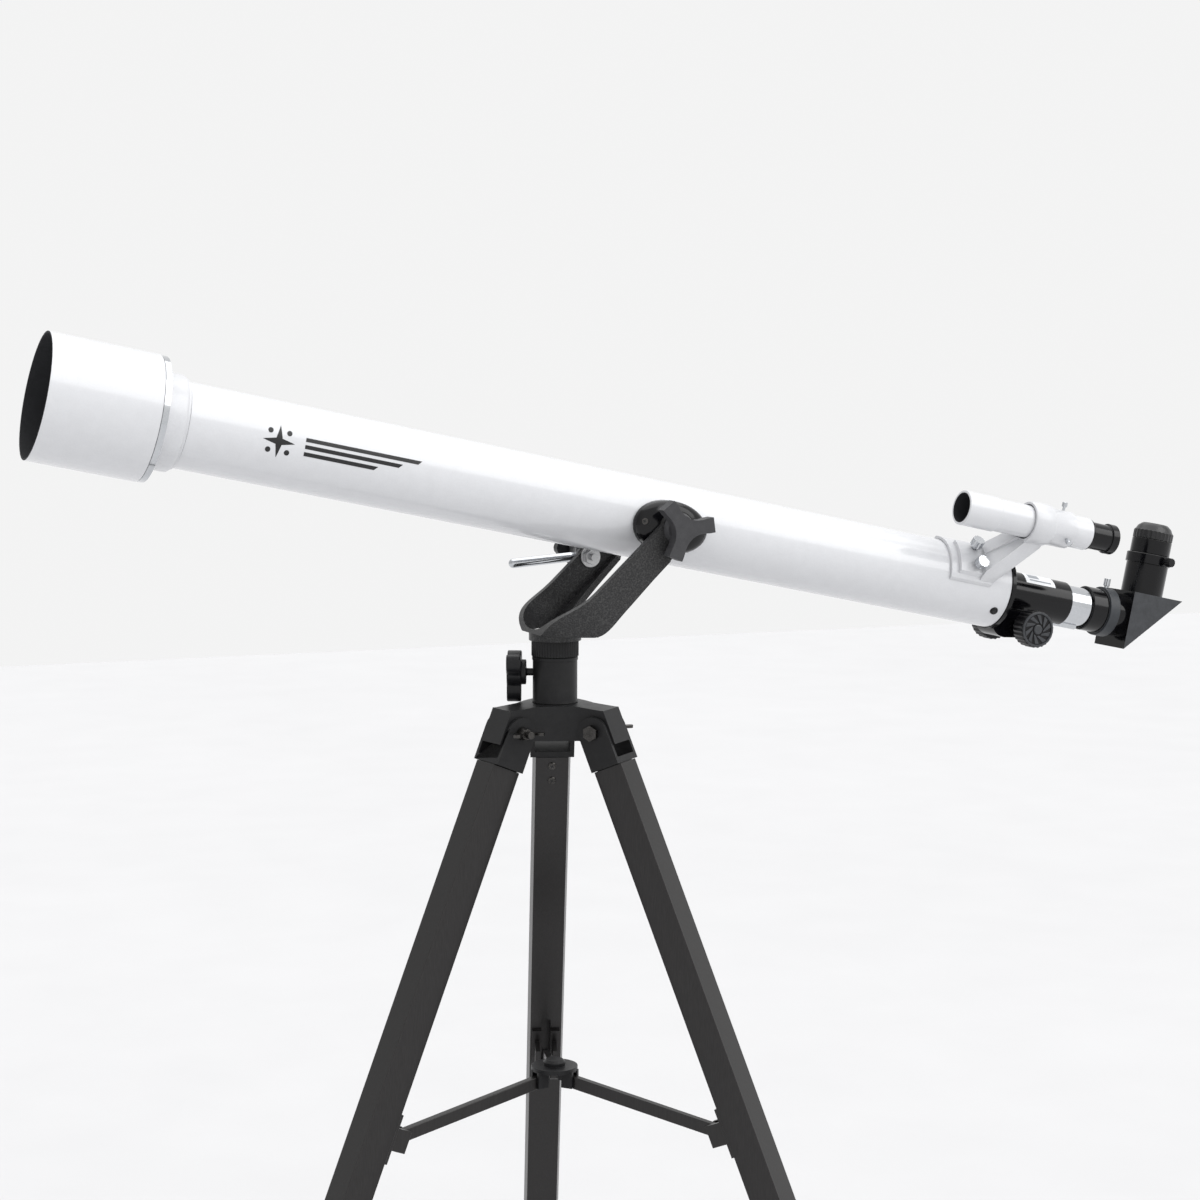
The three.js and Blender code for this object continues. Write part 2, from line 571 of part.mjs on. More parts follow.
function rodClamp() {
  const y0 = ARM_OUT + GAP;
  const block = box(-9, 9, y0 + 1, ROD_Y + 7.5, -9, 9);
  const washer = new THREE.CylinderGeometry(9, 9, 2, 28).translate(0, y0 + 1, 0);
  const shaft = new THREE.CylinderGeometry(3, 3, 22, 16).translate(0, y0 - 6, 0);
  const headWasher = new THREE.CylinderGeometry(8.5, 8.5, 1.6, 28);
  headWasher.translate(0, STRAP_IN - GAP - 0.8, 0);
  const head = new THREE.CylinderGeometry(6.4, 6.4, 4.5, 6).translate(0, STRAP_IN - GAP - 3.6, 0);
  const bore = alongX(rod(ROD_R + 0.4, -20, 20), 24).translate(0, ROD_Y, 0);
  const tapped = new THREE.CylinderGeometry(2.9, 2.9, 10, 16).translate(0, ROD_Y + 8, 0);
  return join([block, washer, shaft, headWasher, head], [bore, tapped]);
}
place(rodGroup, 'rod_clamp', rodClamp(), blackSatin);
const rodKnob = lobedKnob(20, 8, 2.5, 3, 117).rotateZ(Math.PI / 2);
place(rodGroup, 'rod_clamp_knob', rodKnob, blackSatin).position.y = ROD_Y + 7.5 + GAP;

function slowMotionRod() {
  const tip = [[0, -ROD_FRONT - ROD_R], [1.6, -ROD_FRONT - 3.6], [3, -ROD_FRONT - 2.6],
    [3.8, -ROD_FRONT - 1.2], [ROD_R, -ROD_FRONT], [ROD_R, ROD_REAR - 18], [0, ROD_REAR - 18]];
  const shape = new THREE.Shape();
  shape.moveTo(-20, -3.4);
  shape.lineTo(0, -6);
  shape.absarc(0, 0, 6, -Math.PI / 2, Math.PI / 2, false);
  shape.lineTo(-20, 3.4);
  shape.closePath();
  const tongue = sidePlate(shape, -2.5, 2.5, 10).translate(ROD_REAR, 0, 0);
  return join([alongX(tip, 24), tongue]).translate(0, ROD_Y, 0);
}
place(rodGroup, 'slow_motion_rod', slowMotionRod(), chrome);

// Fork on the tube: the rod's tongue lies free between its two cheeks
const forkX = clampAt.x + ROD_REAR * Math.cos(rad(ROD_SLOPE)) - TRUNNION_X;
const forkZ = clampAt.z + ROD_REAR * Math.sin(rad(ROD_SLOPE)) - TRUNNION_Z;
const FORK_S = TRUNNION_S + forkX * cosE - forkZ * sinE;
const FORK_UP = forkX * sinE + forkZ * cosE - TRUNNION_DROP;
function rodBracket() {
  const saddle = alongX(ring(TUBE_R + GAP, TUBE_R + 3, FORK_S - 24, FORK_S + 30), 48);
  const keep = box(FORK_S - 40, FORK_S + 40, 0, 60, FORK_UP - 16, FORK_UP + 16);
  const pad = shell(solid(saddle).intersect(solid(keep)));
  const post = box(FORK_S + 8, FORK_S + 24, TUBE_R, ROD_Y + 8, FORK_UP - 8, FORK_UP + 8);
  const cheekIn = box(FORK_S - 10, FORK_S + 12, ROD_Y - 8, ROD_Y - 4.6, FORK_UP - 8, FORK_UP + 8);
  const cheekOut = box(FORK_S - 10, FORK_S + 12, ROD_Y + 4.6, ROD_Y + 8, FORK_UP - 8, FORK_UP + 8);
  const core = alongX(rod(TUBE_R + GAP, FORK_S - 60, FORK_S + 60), 48);
  const room = box(FORK_S - 20, FORK_S + 16, ROD_Y - 4.6, ROD_Y + 4.6, FORK_UP - 9, FORK_UP + 9);
  return join([pad, post, cheekIn, cheekOut], [core, room]);
}
place(optics, 'rod_bracket', rodBracket(), blackSatin);

// ---- optical tube -------------------------------------------------------------------------
place(optics, 'main_tube', alongX(ring(TUBE_R - TUBE_WALL, TUBE_R, TUBE_FRONT, TUBE_REAR), 48), whitePaint);
place(optics, 'dew_shield', alongX(ring(DEW_R - 1.5, DEW_R, DEW_FRONT, DEW_REAR), 48), whitePaint);
place(optics, 'trim_ring', alongX(ring(46.8, 47.9, DEW_REAR + GAP, -327.4), 48), chrome);

const SPIGOT_R = TUBE_R - TUBE_WALL - 0.4;
const LENS_R = 31.4;
const LENS_FRONT = -347;
const cellProfile = [[28.5, -290], [28.5, -334], [LENS_R + 0.4, -334], [LENS_R + 0.4, -352], [46.4, -352],
  [46.4, -327.4], [38.4, -327.4], [CELL_R, -325], [CELL_R, -313.2], [36.2, -311.2], [34.4, -310.6],
  [34.4, TUBE_FRONT - GAP], [SPIGOT_R, TUBE_FRONT - GAP], [SPIGOT_R, -290], [28.5, -290]];
place(optics, 'objective_cell', alongX(cellProfile, 48), whitePaint);

// A lens: two spherical faces between its front and rear heights at the rim.
function lens(r, front, rear, bulgeFront, bulgeRear) {
  const profile = [];
  const steps = 3;
  for (let i = 0; i <= steps; i += 1) {
    const t = i / steps;
    profile.push([r * t, front - bulgeFront * (1 - t * t)]);
  }
  for (let i = steps; i >= 0; i -= 1) {
    const t = i / steps;
    profile.push([r * t, rear + bulgeRear * (1 - t * t)]);
  }
  return profile;
}
const doublet = lens(LENS_R, LENS_FRONT + 2, LENS_FRONT + 12.2, 2, -0.6);
place(optics, 'objective_lens', alongX(doublet, 32), glass);

// Side blocks that carry the trunnion studs
function trunnionCap(side) {
  const profile = [[0, 0], [32, 0], [32, 17], [30.8, 20], [27.5, 22.6], [22, 24.8], [15, 26], [0, 26]];
  const dome = lathe(profile, 40).scale(1, 1, 0.66);
  if (side < 0) dome.rotateZ(Math.PI);
  dome.translate(TRUNNION_S, side * (STRAP_IN - GAP - 26), -TRUNNION_DROP);
  const core = alongX(rod(TUBE_R + GAP, 0, 200), 48);
  if (side < 0) {
    const from = STRAP_IN - 12;
    const stud = new THREE.CylinderGeometry(4, 4, ARM_OUT + STUD_OUT - from, 20);
    stud.translate(TRUNNION_S, -(ARM_OUT + STUD_OUT + from) / 2, -TRUNNION_DROP);
    return join([dome, stud], [core]);
  }
  const bore = new THREE.CylinderGeometry(4.4, 4.4, 40, 24);
  bore.translate(TRUNNION_S, STRAP_IN - 4, -TRUNNION_DROP);
  return join([dome], [core, bore]);
}
place(optics, 'trunnion_cap_near', trunnionCap(-1), blackGloss);
place(optics, 'trunnion_cap_far', trunnionCap(1), blackGloss);

// Focuser: flange, barrel and pinion housing
function focuserBody() {
  const profile = [[DRAW_R + 0.45, 396], [SPIGOT_R, 396], [SPIGOT_R, TUBE_REAR + GAP],
    [FLANGE_R, TUBE_REAR + GAP], [FLANGE_R, TUBE_REAR + 3.8], [FLANGE_R - 1, TUBE_REAR + 4.8],
    [FOCUSER_R + 2, TUBE_REAR + 4.8], [FOCUSER_R, TUBE_REAR + 7], [FOCUSER_R, FOCUSER_END - 1],
    [FOCUSER_R - 0.8, FOCUSER_END], [DRAW_R + 0.45, FOCUSER_END], [DRAW_R + 0.45, 396]];
  const barrel = alongX(profile, 40);
  const low = -PINION_DROP;
  const housing = new THREE.Shape();
  housing.moveTo(TUBE_REAR + 2, -14);
  housing.lineTo(TUBE_REAR + 2, -33);
  housing.quadraticCurveTo(TUBE_REAR + 6, -38.5, TUBE_REAR + 14, -38.5);
  housing.lineTo(PINION_S, low - 10);
  housing.absarc(PINION_S, low, 10, -Math.PI / 2, 0, false);
  housing.lineTo(PINION_S + 24, -14);
  housing.closePath();
  const block = sidePlate(housing, -14, 14, 8);
  const cut = [
    alongX(rod(DRAW_R + 0.45, 380, 500), 40),
    box(390, 500, -4.6, 4.6, -21.4, -10),
    box(PINION_S - 8.5, PINION_S + 8.5, -9, 9, low - 7.6, -10),
    new THREE.CylinderGeometry(3.1, 3.1, 40, 20).translate(PINION_S, 0, low),
  ];
  return join([barrel, block], cut);
}
place(optics, 'focuser_body', focuserBody(), blackGloss);

function drawtube() {
  const tube = alongX(ring(DRAW_R - 1.5, DRAW_R, DRAW_FRONT, DRAW_END), 40);
  const add = [tube];
  const start = DRAW_FRONT + 4;
  const end = BACK_START - 4;
  const pitch = 3;
  const teeth = new THREE.Shape();
  teeth.moveTo(start, -16.2);
  for (let s = start; s < end - pitch; s += pitch) {
    teeth.lineTo(s, -18.6);
    teeth.lineTo(s + pitch * 0.3, -20.2);
    teeth.lineTo(s + pitch * 0.7, -20.2);
  }
  teeth.lineTo(end, -18.6);
  teeth.lineTo(end, -16.2);
  teeth.closePath();
  add.push(sidePlate(teeth, -4, 4));
  return join(add, [alongX(rod(DRAW_R - 1.5, 380, 520), 40)]);
}
place(optics, 'drawtube', drawtube(), chrome);

const backProfile = [[DRAW_R + GAP, BACK_START], [19, BACK_START], [19.4, BACK_START + 0.6],
  [19.4, BACK_END], [21.6, BACK_END], [21.6, RING_END], [BARREL_R + 0.2, RING_END],
  [BARREL_R + 0.2, DRAW_END + GAP], [DRAW_R + GAP, DRAW_END + GAP], [DRAW_R + GAP, BACK_START]];
const backHole = alongZ(rod(2.4, 10, 40), 16).translate(528, 0, 0);
place(optics, 'visual_back', join([alongX(backProfile, 40)], [backHole]), blackGloss);

// A small thumbscrew: stud from "from", ribbed head up to "top", along Z
function thumbscrew(studR, headR, from, neck, top) {
  const shape = new THREE.Shape();
  const ribs = 12;
  for (let i = 0; i < 2 * ribs; i += 1) {
    const a = (i / ribs) * Math.PI;
    const r = headR - (i % 2) * headR * 0.12;
    if (i === 0) shape.moveTo(r, 0);
    else shape.lineTo(r * Math.cos(a), r * Math.sin(a));
  }
  shape.closePath();
  const head = extrude(shape, top - neck).translate(0, 0, neck);
  return join([alongZ(rod(studR, from, neck + 1), 16), head]);
}
const backScrew = thumbscrew(2, 2.9, 16.2, 23, 29.5);
place(optics, 'visual_back_screw', backScrew, chrome).position.x = 528;

// Pinion and focus knobs
const pinionGroup = group(optics, PINION_S, 0, -PINION_DROP);
function pinion() {
  const shape = new THREE.Shape();
  const teeth = 12;
  for (let i = 0; i < teeth; i += 1) {
    const a = (i / teeth) * 2 * Math.PI;
    const corners = [[4.3, 0], [4.3, 0.3], [5.7, 0.42], [5.7, 0.58]];
    for (const [r, part] of corners) {
      const b = a + (part * 2 * Math.PI) / teeth;
      if (i === 0 && part === 0) shape.moveTo(r, 0);
      else shape.lineTo(r * Math.cos(b), r * Math.sin(b));
    }
    const back = a + (0.7 * 2 * Math.PI) / teeth;
    shape.lineTo(4.3 * Math.cos(back), 4.3 * Math.sin(back));
  }
  shape.closePath();
  const gear = extrude(shape, 14).translate(0, 0, -7).rotateX(Math.PI / 2);
  const shaft = new THREE.CylinderGeometry(2.8, 2.8, 80, 20);
  return join([gear, shaft]);
}
place(pinionGroup, 'pinion_shaft', pinion(), steel);

function focusKnob(side) {
  const shape = new THREE.Shape();
  const ribs = 24;
  for (let i = 0; i < 2 * ribs; i += 1) {
    const a = (i / ribs) * Math.PI;
    const r = 16 - (i % 2) * 0.9;
    if (i === 0) shape.moveTo(r, 0);
    else shape.lineTo(r * Math.cos(a), r * Math.sin(a));
  }
  shape.closePath();
  const rim = extrude(shape, 14).rotateX(-Math.PI / 2 * side).translate(0, side * 27, 0);
  const hub = new THREE.CylinderGeometry(8, 8, 11, 24).translate(0, side * 22, 0);
  const bore = new THREE.CylinderGeometry(3.15, 3.15, 30, 20).translate(0, side * 25.2, 0);
  return join([rim, hub], [bore]);
}
place(pinionGroup, 'focus_knob_near', focusKnob(-1), blackSatin);
place(pinionGroup, 'focus_knob_far', focusKnob(1), blackSatin);

// Star diagonal with its eyepiece holder
function diagonalHousing() {
  const low = DIAG_TOP - DIAG_SIDE;
  const side = outline([[DIAG_FRONT, low], [DIAG_FRONT + DIAG_SIDE, DIAG_TOP], [DIAG_FRONT, DIAG_TOP]]);
  const prism = sidePlate(side, -DIAG_HALF, DIAG_HALF);
  const holder = alongZ([[0, DIAG_TOP - 1], [HOLDER_R, DIAG_TOP - 1], [HOLDER_R, 49], [19.6, 49.5],
    [19.6, HOLDER_TOP - 0.5], [19.1, HOLDER_TOP], [0, HOLDER_TOP]], 36);
  holder.translate(HOLDER_S, 0, 0);
  const mirrorRoom = box(-20, 20, -16, 16, 0, 12).rotateY(rad(-45));
  mirrorRoom.translate(HOLDER_S + 1, 0, DIAG_TOP - DIAG_SIDE / 2 + 4);
  const screwHole = alongX(rod(2.6, 10, 30), 16).rotateZ(rad(-80)).translate(HOLDER_S, 0, 53.5);
  const cut = [
    alongX(rod(13, 500, HOLDER_S), 32),
    alongZ(rod(BARREL_R + 0.2, 8, 80), 36).translate(HOLDER_S, 0, 0),
    mirrorRoom,
    screwHole,
  ];
  const neck = alongX(ring(BARREL_R + 0.2, 19, RING_END + GAP, DIAG_FRONT + 1), 36);
  const body = join([prism, holder], cut);
  return join([body, neck]);
}
place(optics, 'diagonal_housing', diagonalHousing(), blackSatin);
const nosepiece = alongX(ring(13, BARREL_R - 0.2, 512, DIAG_FRONT - GAP), 36);
place(optics, 'diagonal_nosepiece', nosepiece, chrome);
const mirror = box(-17, 17, -14, 14, 0.6, 3.2).rotateY(rad(-45));
mirror.translate(HOLDER_S + 1, 0, DIAG_TOP - DIAG_SIDE / 2 + 4);
place(optics, 'diagonal_mirror', mirror, glass);

const holderScrew = thumbscrew(2.2, 4, 16.6, 23, 29).rotateY(Math.PI / 2).rotateZ(rad(-80));
place(optics, 'holder_screw', holderScrew, blackSatin).position.set(HOLDER_S, 0, 53.5);

// Eyepiece: barrel and body in one, with a ribbed rubber eyecup
const CUP_BASE = 71;
const eyepieceProfile = [[12.5, 30], [BARREL_R - 0.2, 30], [BARREL_R - 0.2, HOLDER_TOP + GAP],
  [EYEPIECE_R, HOLDER_TOP + GAP], [EYEPIECE_R, CUP_BASE], [12.5, CUP_BASE], [12.5, 30]];
const eyepiece = group(optics, HOLDER_S, 0, 0);
place(eyepiece, 'eyepiece_body', alongZ(eyepieceProfile, 40), blackGloss);
function eyecup() {
  const shape = new THREE.Shape();
  const ribs = 28;
  for (let i = 0; i < 2 * ribs; i += 1) {
    const a = (i / ribs) * Math.PI;
    const r = EYEPIECE_R - (i % 2) * 0.6;
    if (i === 0) shape.moveTo(r, 0);
    else shape.lineTo(r * Math.cos(a), r * Math.sin(a));
  }
  shape.closePath();
  const ribbed = extrude(shape, EYEPIECE_TOP - CUP_BASE).translate(0, 0, CUP_BASE + GAP);
  const crownLine = alongZ([[0, CUP_BASE - 2], [EYEPIECE_R + 1, CUP_BASE - 2], [EYEPIECE_R + 1, 77],
    [16, 79.6], [14.6, 82.4], [12, 84.6], [10.4, EYEPIECE_TOP], [8, EYEPIECE_TOP], [7, EYEPIECE_TOP - 2.5],
    [0, EYEPIECE_TOP - 3]], 40);
  return shell(solid(ribbed).intersect(solid(crownLine)));
}
place(eyepiece, 'eyecup', eyecup(), rubber);

// ---- finder scope -------------------------------------------------------------------------
const finderY = -FINDER_OFFSET * Math.cos(rad(FINDER_ANGLE));
const finderZ = FINDER_OFFSET * Math.sin(rad(FINDER_ANGLE));
const finder = group(optics, 0, finderY, finderZ);
const finderProfile = [[12.6, 337], [14.3, 337], [14.6, 337.4], [14.6, 369], [FINDER_R, 369.6],
  [FINDER_R, 461], [12.6, 461], [12.6, 337]];
place(finder, 'finder_tube', alongX(finderProfile, 32), whitePaint);
place(finder, 'finder_lens', alongX(lens(12.2, 352, 355, 1, 1), 24), glass);
const finderEyeProfile = [[0, 452], [12.2, 452], [12.2, 461 + GAP], [13.2, 461 + GAP],
  [13.2, 463], [11.5, 463.4], [11.5, 481.6], [12.9, 482], [12.9, 488.4], [12.2, 489], [7, 489],
  [5, 486.5], [0, 486.5]];
place(finder, 'finder_eyepiece', alongX(finderEyeProfile, 28), blackGloss);

// Bracket: saddle on the tube, raised pad, arm and the ring around the finder.
// It is drawn with the finder straight above the tube, then leaned to the finder's angle.
const NUT_S = 373;
const NUT_LEAN = { upper: -2, lower: 24 }; // degrees from the finder's own plane
function leanFinder(geometry) {
  return geometry.rotateX(rad(90 - FINDER_ANGLE));
}
function finderBracket() {
  const saddleRing = alongX(ring(TUBE_R + GAP, TUBE_R + 2.6, 350, 390), 56);
  const saddleKeep = box(340, 400, -25, 25, 0, 60);
  const saddle = shell(solid(saddleRing).intersect(solid(saddleKeep)));
  const padRing = alongX(ring(TUBE_R + GAP, TUBE_R + 6, 357, 391), 56);
  const pad = shell(solid(padRing).intersect(solid(box(340, 400, -22, 9, 0, 60))));
  const armShape = new THREE.Shape();
  armShape.moveTo(380, 34);
  armShape.lineTo(391, 34);
  armShape.quadraticCurveTo(400, 50, 424, FINDER_OFFSET - 15.6);
  armShape.lineTo(440, FINDER_OFFSET - 15);
  armShape.lineTo(440, FINDER_OFFSET - 6);
  armShape.lineTo(402, FINDER_OFFSET - 6);
  armShape.quadraticCurveTo(392, FINDER_OFFSET - 24, 380, 42);
  armShape.closePath();
  const arm = sidePlate(armShape, -6, 6, 10);
  const webCorners = [];
  for (const s of [378, 390]) {
    for (const y of [-24, 7]) {
      for (const z of [24, 37.5]) webCorners.push(new THREE.Vector3(s, y, z));
    }
  }
  for (const s of [404, 420]) {
    for (const y of [-12, 8]) {
      for (const z of [FINDER_OFFSET - 16, FINDER_OFFSET - 11]) webCorners.push(new THREE.Vector3(s, y, z));
    }
  }
  const broadWeb = new ConvexGeometry(webCorners);
  const ringProfile = [[14.9, 401], [16.8, 401], [17.7, 403], [17.7, 419], [16.4, 422], [15.8, 423],
    [15.8, 442], [14.9, 442], [14.9, 401]];
  const hoop = alongX(ringProfile, 32).translate(0, 0, FINDER_OFFSET);
  const cut = [
    alongX(rod(TUBE_R + GAP, 340, 460), 56),
    alongX(rod(14.9, 390, 460), 32).translate(0, 0, FINDER_OFFSET),
  ];
  for (const lean of Object.values(NUT_LEAN)) {
    cut.push(alongZ(rod(2.4, 28, 60), 16).translate(NUT_S, 0, 0).rotateX(rad(lean)));
  }
  return leanFinder(join([saddle, pad, arm, broadWeb, hoop], cut));
}
place(optics, 'finder_bracket', finderBracket(), whitePaint);

for (const [name, lean] of Object.entries(NUT_LEAN)) {
  const nut = thumbscrew(2, 5.4, 34, 42, 49).translate(NUT_S, 0, 0).rotateX(rad(lean));
  place(optics, `finder_nut_${name}`, leanFinder(nut), chrome);
}

export default telescope;
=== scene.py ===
"""Looks of the telescope on its tripod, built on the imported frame.

Blender works in metres. Bare sizes below are millimetres, and MM turns them into metres.
"""
import json
import math
import bmesh
import bpy
from mathutils import Matrix, Vector


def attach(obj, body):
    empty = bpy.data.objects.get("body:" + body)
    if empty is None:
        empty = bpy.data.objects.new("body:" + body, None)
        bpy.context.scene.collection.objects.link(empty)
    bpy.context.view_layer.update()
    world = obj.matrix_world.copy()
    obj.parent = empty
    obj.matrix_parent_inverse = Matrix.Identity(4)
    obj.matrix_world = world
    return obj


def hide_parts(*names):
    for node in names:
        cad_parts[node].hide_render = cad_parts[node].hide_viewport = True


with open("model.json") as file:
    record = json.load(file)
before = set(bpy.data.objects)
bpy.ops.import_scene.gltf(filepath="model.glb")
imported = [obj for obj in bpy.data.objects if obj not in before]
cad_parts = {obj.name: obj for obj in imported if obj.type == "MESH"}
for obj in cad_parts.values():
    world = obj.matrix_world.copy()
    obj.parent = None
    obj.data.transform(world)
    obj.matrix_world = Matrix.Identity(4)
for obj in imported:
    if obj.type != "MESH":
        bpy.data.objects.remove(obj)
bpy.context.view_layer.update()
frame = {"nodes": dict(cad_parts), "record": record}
BODY_OF = {n: b for b, ns in frame["record"]["behaviour"]["bodies"].items() for n in ns}
JOINTS = {j["name"]: j for j in frame["record"]["behaviour"]["joints"]}
MM = 0.001

# ---- frames taken from the joints ---------------------------------------------------------
REAR = Vector(JOINTS["drawtube_slide"]["axis"])
UP = Vector(JOINTS["eyepiece_slide"]["axis"])
TRUNNION = Vector(JOINTS["altitude_tilt"]["pos_m"])
AZIMUTH = Vector(JOINTS["azimuth_turn"]["pos_m"])
AZIMUTH_HEIGHT = 52  # of the azimuth joint above the hub's top
TRUNNION_ALONG, TRUNNION_BELOW = 87, 3  # of the altitude joint from the tube frame's origin
HUB_TOP = Vector((AZIMUTH.x, AZIMUTH.y, AZIMUTH.z - AZIMUTH_HEIGHT * MM))
TUBE_ORIGIN = TRUNNION - REAR * TRUNNION_ALONG * MM + UP * TRUNNION_BELOW * MM


def axes(x, y, z, origin):
    m = Matrix.Identity(4)
    for i, v in enumerate((x, y, z)):
        m.col[i][:3] = v
    m.col[3][:3] = origin
    return m


TUBE = axes(REAR, Vector((0, 1, 0)), UP, TUBE_ORIGIN)  # x runs along the tube toward the eyepiece

# Sizes of the CAD part that added pieces and finishes are placed by
TUBE_R = 33.0
FOCUSER_R = 19.0
COLUMN_R = 17.9
FINDER_ALONG, FINDER_OUT, FINDER_ANGLE = 435, 79.5, math.radians(50)
FINDER_C = (-FINDER_OUT * math.cos(FINDER_ANGLE), FINDER_OUT * math.sin(FINDER_ANGLE))
FINDER_AT = TUBE @ (Vector((FINDER_ALONG, *FINDER_C)) * MM)

# Where one finish of a node gives way to another
TUBE_SPLIT_R, SHIELD_SPLIT_R, FINDER_SPLIT_R = 32.2, 47.3, 12.9
CELL_SPLIT_ALONG = -330
BACK_SPLIT_ALONG = 522.5
CHEEK_TOP, CHEEK_FRONT = 22.4, 542.9


def about(direction, origin):
    """A frame whose z runs along direction."""
    z = direction.normalized()
    x = z.orthogonal().normalized()
    return axes(x, z.cross(x), z, origin)


# ---- materials ----------------------------------------------------------------------------
def srgb(v):
    v /= 255
    return v / 12.92 if v <= 0.04045 else ((v + 0.055) / 1.055) ** 2.4


def colour(r, g, b):
    return (srgb(r), srgb(g), srgb(b), 1)


def surface(name, low, high, rough, metal=0.0, grain=400.0, bump=0.1, stretch=(1, 1, 1),
            coat=0.0, cells=False, depth=0.0002, ior=1.5, spec=0.5, cloudy=1.0):
    """A procedural finish: two tones and a roughness spread by noise, with a fine relief."""
    m = bpy.data.materials.new(name)
    m.use_nodes = True
    nt = m.node_tree
    bsdf = nt.nodes["Principled BSDF"]
    new, link = nt.nodes.new, nt.links.new
    coord = new("ShaderNodeTexCoord")
    mapping = new("ShaderNodeMapping")
    mapping.inputs["Scale"].default_value = stretch
    link(coord.outputs["Object"], mapping.inputs["Vector"])
    cloud = new("ShaderNodeTexNoise")
    cloud.inputs["Scale"].default_value = grain * 0.12
    cloud.inputs["Detail"].default_value = 5
    link(mapping.outputs["Vector"], cloud.inputs["Vector"])
    if cells:
        fine = new("ShaderNodeTexVoronoi")
        fine.feature = "SMOOTH_F1"
        fine.inputs["Scale"].default_value = grain
        fine_out = fine.outputs["Distance"]
    else:
        fine = new("ShaderNodeTexNoise")
        fine.inputs["Scale"].default_value = grain
        fine.inputs["Detail"].default_value = 4
        fine_out = fine.outputs["Fac"]
    link(mapping.outputs["Vector"], fine.inputs["Vector"])
    blend = new("ShaderNodeMath")
    blend.operation = "MULTIPLY_ADD"
    blend.inputs[1].default_value = 1 - 0.5 * cloudy
    link(fine_out, blend.inputs[0])
    half = new("ShaderNodeMath")
    half.operation = "MULTIPLY"
    half.inputs[1].default_value = 0.5 * cloudy
    link(cloud.outputs["Fac"], half.inputs[0])
    link(half.outputs[0], blend.inputs[2])
    ramp = new("ShaderNodeValToRGB")
    ramp.color_ramp.elements[0].position = 0.3
    ramp.color_ramp.elements[0].color = low
    ramp.color_ramp.elements[1].position = 0.7
    ramp.color_ramp.elements[1].color = high
    link(blend.outputs[0], ramp.inputs["Fac"])
    link(ramp.outputs["Color"], bsdf.inputs["Base Color"])
    spread = new("ShaderNodeMapRange")
    spread.inputs["To Min"].default_value = rough[0]
    spread.inputs["To Max"].default_value = rough[1]
    link(cloud.outputs["Fac"], spread.inputs["Value"])
    link(spread.outputs["Result"], bsdf.inputs["Roughness"])
    relief = new("ShaderNodeBump")
    relief.inputs["Strength"].default_value = bump
    relief.inputs["Distance"].default_value = depth
    link(fine_out, relief.inputs["Height"])
    link(relief.outputs["Normal"], bsdf.inputs["Normal"])
    bsdf.inputs["Metallic"].default_value = metal
    bsdf.inputs["Coat Weight"].default_value = coat
    bsdf.inputs["Coat Roughness"].default_value = 0.06
    bsdf.inputs["IOR"].default_value = ior
    bsdf.inputs["Specular IOR Level"].default_value = spec
    return m


WHITE = surface("white_enamel", colour(208, 209, 212), colour(214, 215, 218), (0.2, 0.28), grain=900,
                bump=0.02, coat=0.5)
WHITE_CAST = surface("white_cast_enamel", colour(202, 203, 206), colour(211, 212, 215), (0.26, 0.36),
                     grain=700, bump=0.06, coat=0.3)
INNER = surface("inner_black", colour(26, 27, 30), colour(44, 45, 48), (0.7, 0.9), grain=1500, bump=0.2)
GLOSS = surface("black_gloss", colour(6, 6, 8), colour(12, 12, 15), (0.1, 0.17), grain=500, bump=0.02,
                spec=0.32)
SATIN = surface("black_satin", colour(14, 14, 16), colour(25, 25, 27), (0.32, 0.44), grain=1300, bump=0.12,
                spec=0.28)
HAMMER = surface("hammertone", colour(38, 38, 39), colour(66, 66, 66), (0.34, 0.46), metal=0.1,
                 grain=950, bump=0.35, cells=True, depth=0.0003, cloudy=0.25, spec=0.3)
KNOB = surface("knob_grey", colour(54, 54, 56), colour(68, 68, 70), (0.46, 0.58), grain=1500, bump=0.2,
               spec=0.3)
CAST = surface("moulded_grey", colour(22, 22, 23), colour(33, 33, 34), (0.36, 0.48), grain=1200, bump=0.18,
               spec=0.24)
LEG = surface("leg_anodised", colour(54, 53, 53), colour(60, 59, 59), (0.3, 0.36), metal=0.85, grain=1400,
              bump=0.06, stretch=(1, 1, 0.04), cloudy=0.1)
SLATE = surface("slate_ring", colour(38, 41, 45), colour(50, 54, 59), (0.45, 0.55), grain=1200, bump=0.1)
CHROME = surface("chrome", colour(190, 193, 197), colour(205, 207, 210), (0.06, 0.13), metal=1.0,
                 grain=700, bump=0.015)
DARK_STEEL = surface("blackened_steel", colour(52, 51, 50), colour(92, 90, 88), (0.25, 0.4), metal=1.0,
                     grain=1100, bump=0.1)
STEEL = surface("plain_steel", colour(168, 169, 170), colour(200, 200, 201), (0.22, 0.36), metal=1.0,
                grain=1100, bump=0.08)
RUBBER = surface("rubber", colour(19, 19, 20), colour(31, 31, 32), (0.62, 0.8), grain=1600, bump=0.3)
EYECUP = surface("eyecup_rubber", colour(12, 12, 14), colour(22, 22, 24), (0.24, 0.34), grain=1600, bump=0.2)
DIAGONAL = surface("diagonal_plastic", colour(40, 42, 45), colour(62, 64, 68), (0.34, 0.46), grain=1400,
                   bump=0.15)
LABEL = surface("label_paper", colour(226, 228, 231), colour(238, 240, 242), (0.4, 0.5), grain=600, bump=0.03)
# Dark ink for the print on the tube, also the painted shade of the screws' cross recesses
INK_AND_PAINTED_SHADE = surface("print_ink_and_painted_shade", colour(12, 12, 14), colour(22, 22, 24), (0.32, 0.42), grain=900, bump=0.03)
GREY_INK = surface("pale_ink", colour(140, 144, 150), colour(158, 162, 168), (0.4, 0.5), grain=900, bump=0.03)
GLASS = surface("coated_glass", colour(60, 92, 128), colour(84, 110, 150), (0.03, 0.05), grain=60,
                bump=0.0, coat=1.0, ior=1.52)
